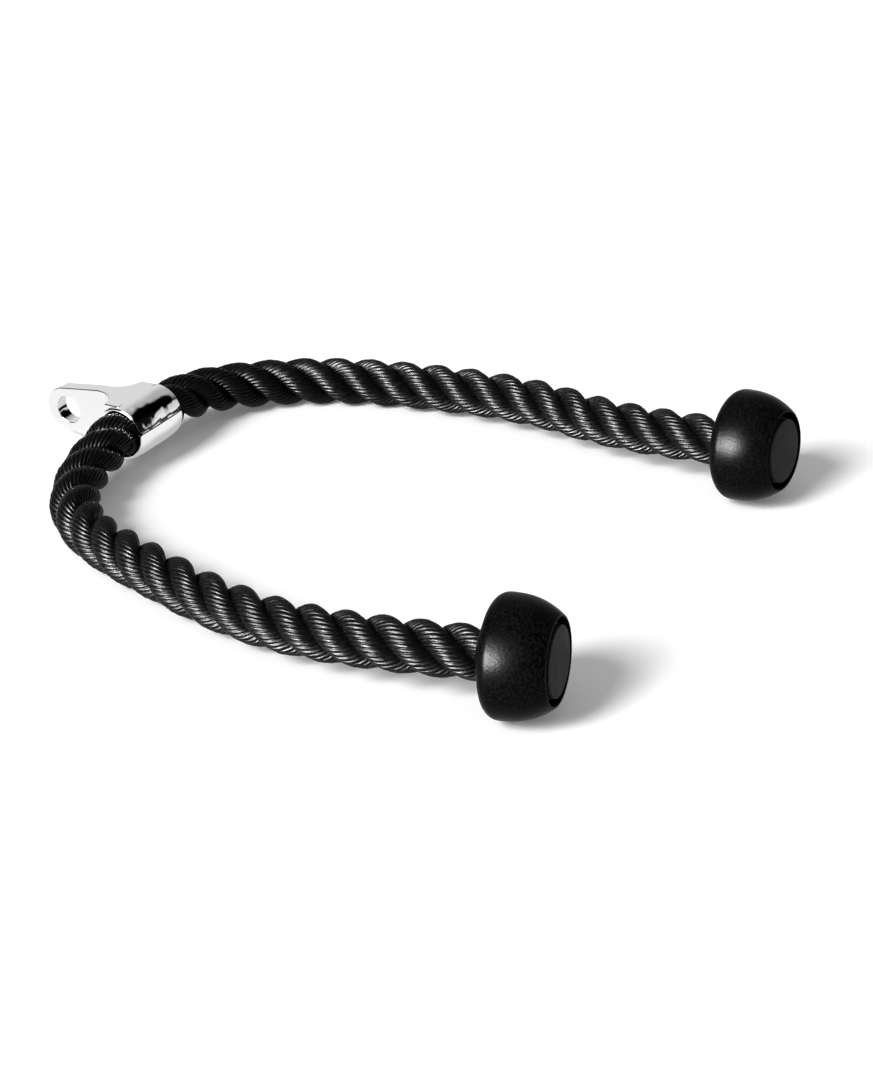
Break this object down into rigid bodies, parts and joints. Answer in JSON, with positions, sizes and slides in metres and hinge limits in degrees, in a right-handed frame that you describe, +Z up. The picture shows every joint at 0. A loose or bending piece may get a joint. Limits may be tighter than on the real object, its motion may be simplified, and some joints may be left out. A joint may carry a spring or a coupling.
{
  "type": "triceps rope attachment",
  "caption": "Gym cable rope: a laid rope bent into a U through a chromed clamp with a flat eye tongue, and a rubber stopper with an end plug on each free end.",
  "frame": {"origin": "on the floor, in the middle of the box that the clamp and the two stoppers fill", "axes": "+X from the clamp towards the stoppers, +Y towards the left arm, +Z up off the floor that the rope lies on"},
  "size_m": [0.4357, 0.3436, 0.0661],
  "materials": {
    "chrome": "polished",
    "rope": "glossy black synthetic yarn",
    "rubber": "smooth black moulded rubber",
    "plug": "dull dark grey",
    "steel": "zinc plated"
  },
  "bodies": {
    "clamp": {"clamp": "chrome", "rope_centre": "rope", "left_rope_bend": "rope", "right_rope_bend": "rope"},
    "left_arm": {"left_rope_arm": "rope", "left_stopper": "rubber", "left_washer": "steel", "left_ferrule": "steel", "left_end_plug": "plug"},
    "right_arm": {"right_rope_arm": "rope", "right_stopper": "rubber", "right_washer": "steel", "right_ferrule": "steel", "right_end_plug": "plug"}
  },
  "joints": [
    {"name": "left_arm_flex", "type": "hinge", "parent": "clamp", "child": "left_arm", "pos_m": [-0.13213, 0.08199, 0.01668], "axis": [0, 0, 1], "range_deg": [-15, 45], "stiffness_Nm_per_rad": 0.6, "deforming": ["left_rope_bend"]},
    {"name": "right_arm_flex", "type": "hinge", "parent": "clamp", "child": "right_arm", "pos_m": [-0.13269, -0.08712, 0.01637], "axis": [0, 0, -1], "range_deg": [-15, 45], "stiffness_Nm_per_rad": 0.6, "deforming": ["right_rope_bend"]}
  ]
}
